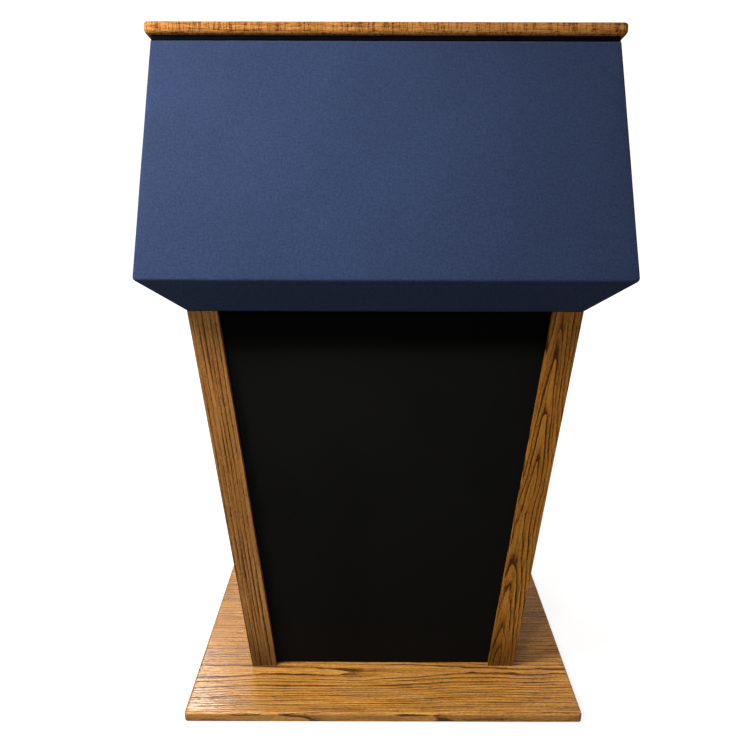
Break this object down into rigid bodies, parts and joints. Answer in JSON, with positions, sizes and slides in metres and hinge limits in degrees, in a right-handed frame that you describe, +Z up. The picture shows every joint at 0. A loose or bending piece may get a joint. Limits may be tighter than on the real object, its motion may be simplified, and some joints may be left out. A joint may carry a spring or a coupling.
{
  "type": "presentation lectern",
  "caption": "Flared oak lectern with a cloth-wrapped bonnet, sloping reading board, open-backed shelved body, pull-out tray and tilt-back wheels.",
  "frame": {"origin": "on the floor, under the middle of the lectern's overall box", "axes": "+Z up; the audience stands on the -Y side and the speaker on the +Y side; +X is to the right seen from the audience"},
  "size_m": [0.779, 0.66, 1.1934],
  "materials": {
    "solid_oak": "golden oak stain under satin lacquer",
    "oak_plywood": "golden oak veneer under satin lacquer",
    "hidden_softwood": "plain sawn, unfinished",
    "bonnet_plywood": "plywood brushed with flat black paint",
    "black_laminate": "matt black high-pressure laminate",
    "navy_cloth": "fine plain-woven panel cloth",
    "zinc_steel": "bright zinc plate",
    "black_steel": "black powder coat",
    "black_plastic": "moulded, fine texture",
    "grey_rubber": "matt, soft tread"
  },
  "bodies": {
    "lectern": {"axle_bolts": "zinc_steel", "axle_nuts": "zinc_steel", "base_board": "solid_oak", "base_cleat_front": "hidden_softwood", "base_cleat_left": "hidden_softwood", "base_cleat_right": "hidden_softwood", "base_screws": "zinc_steel", "bonnet_bevel_board": "bonnet_plywood", "bonnet_front_board": "bonnet_plywood", "bonnet_ledger": "hidden_softwood", "bonnet_side_bevel_left": "bonnet_plywood", "bonnet_side_bevel_right": "bonnet_plywood", "bonnet_side_board_left": "bonnet_plywood", "bonnet_side_board_right": "bonnet_plywood", "bonnet_spacer_left": "hidden_softwood", "bonnet_spacer_right": "hidden_softwood", "bonnet_wrap": "navy_cloth", "book_stop": "solid_oak", "book_stop_screws": "zinc_steel", "bracket_screws": "zinc_steel", "floor_glides": "black_plastic", "front_panel": "black_laminate", "front_post_left": "solid_oak", "front_post_right": "solid_oak", "lower_shelf": "oak_plywood", "lower_shelf_cleat_left": "hidden_softwood", "lower_shelf_cleat_right": "hidden_softwood", "microphone_bushing": "black_plastic", "panel_batten_left": "hidden_softwood", "panel_batten_right": "hidden_softwood", "reading_board": "solid_oak", "rear_kick_rail": "solid_oak", "rear_stile_left": "solid_oak", "rear_stile_right": "solid_oak", "rear_top_rail": "solid_oak", "side_panel_left": "oak_plywood", "side_panel_right": "oak_plywood", "slide_channel_left": "zinc_steel", "slide_channel_right": "zinc_steel", "slide_screws": "zinc_steel", "top_cleat_left": "hidden_softwood", "top_cleat_right": "hidden_softwood", "top_screws": "zinc_steel", "tray_batten_left": "hidden_softwood", "tray_batten_right": "hidden_softwood", "upper_shelf": "oak_plywood", "upper_shelf_cleat_left": "hidden_softwood", "upper_shelf_cleat_right": "hidden_softwood", "wheel_bracket_left": "black_steel", "wheel_bracket_right": "black_steel"},
    "tray": {"tray_board": "oak_plywood", "tray_face": "solid_oak", "slide_runner_left": "zinc_steel", "slide_runner_right": "zinc_steel", "runner_screws": "zinc_steel"},
    "wheel_left": {"wheel_hub_left": "black_plastic", "wheel_tyre_left": "grey_rubber"},
    "wheel_right": {"wheel_hub_right": "black_plastic", "wheel_tyre_right": "grey_rubber"}
  },
  "joints": [
    {"name": "tray_slide", "type": "slide", "parent": "lectern", "child": "tray", "axis": [0, 1, 0], "range_m": [0, 0.27]},
    {"name": "wheel_left_spin", "type": "hinge", "parent": "lectern", "child": "wheel_left", "pos_m": [-0.25, 0.3, 0.032], "axis": [1, 0, 0], "continuous": true},
    {"name": "wheel_right_spin", "type": "hinge", "parent": "lectern", "child": "wheel_right", "pos_m": [0.25, 0.3, 0.032], "axis": [1, 0, 0], "continuous": true}
  ]
}
